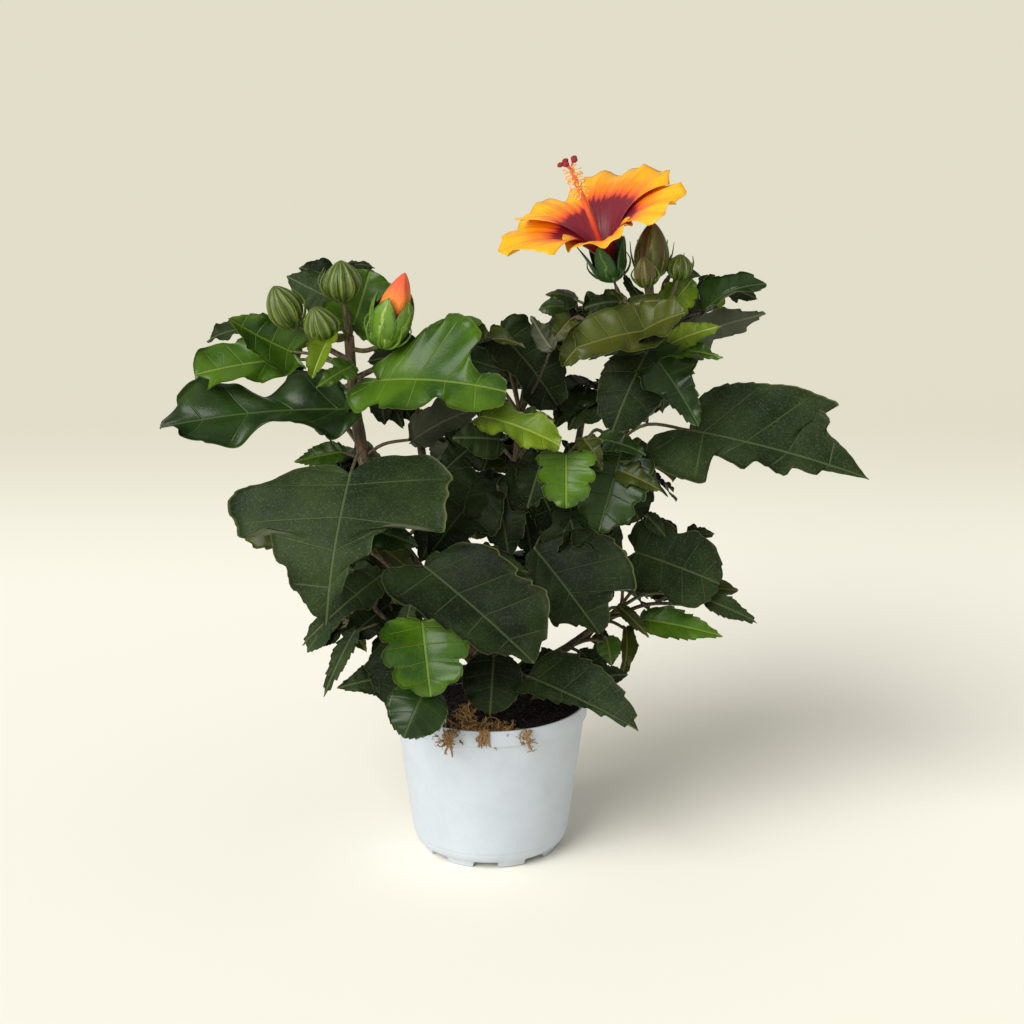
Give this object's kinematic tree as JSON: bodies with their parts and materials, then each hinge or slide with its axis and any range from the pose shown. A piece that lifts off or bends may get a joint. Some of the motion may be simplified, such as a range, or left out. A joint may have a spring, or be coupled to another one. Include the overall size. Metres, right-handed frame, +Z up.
{
  "type": "potted hibiscus shrub",
  "caption": "Small bushy flowering shrub in a plain round nursery pot, with lobed toothed leaves, one open funnel bloom and clusters of buds.",
  "frame": {"origin": "middle of the pot's flat underside", "axes": "+Z up along the pot's axis, -Y towards the front of the plant, +X to its right, where the bloom stands"},
  "size_m": [0.467, 0.2666, 0.4681],
  "materials": {
    "pot": "satin white moulded plastic",
    "soil": "damp crumbly peat",
    "bark": "rough young bark",
    "leaf": "semi-gloss leaf",
    "bud": "matte green with pale ribs",
    "petal": "soft velvety petal"
  },
  "bodies": {
    "root": {"back_high_1": "leaf", "back_high_2": "leaf", "back_high_3": "leaf", "back_left_bough": "bark", "back_low_1": "leaf", "back_low_2": "leaf", "back_low_3": "leaf", "back_middle_1": "leaf", "back_middle_2": "leaf", "back_middle_3": "leaf", "back_right_bough": "bark", "bloom_stalk": "bark", "bud_left_front": "bud", "bud_left_outer": "bud", "bud_left_top": "bud", "bud_opening": "bud", "bud_right_front": "bud", "bud_right_outer": "bud", "bud_right_tall": "bud", "calyx": "bud", "centre_bough": "bark", "centre_crown": "leaf", "centre_fan": "leaf", "centre_front": "leaf", "centre_right": "leaf", "centre_shade": "leaf", "column": "petal", "front_bough": "bark", "front_centre": "leaf", "front_left": "leaf", "front_right": "leaf", "heart": "leaf", "left_arm": "leaf", "left_bough": "bark", "left_crown_back": "leaf", "left_crown_front": "leaf", "left_crown_inner": "leaf", "left_crown_outer": "leaf", "left_under": "leaf", "low_arrow": "leaf", "low_front": "leaf", "low_left": "leaf", "low_left_bough": "bark", "low_right_bough": "bark", "petals": "petal", "pot": "pot", "right_arm": "leaf", "right_bough": "bark", "right_crown_front": "leaf", "right_crown_inner": "leaf", "right_crown_left": "leaf", "right_crown_outer": "leaf", "right_crown_top": "leaf", "right_drop": "leaf", "right_low_hang": "leaf", "right_low_long": "leaf", "right_low_round": "leaf", "soil": "soil", "trunk": "bark"}
  },
  "joints": []
}
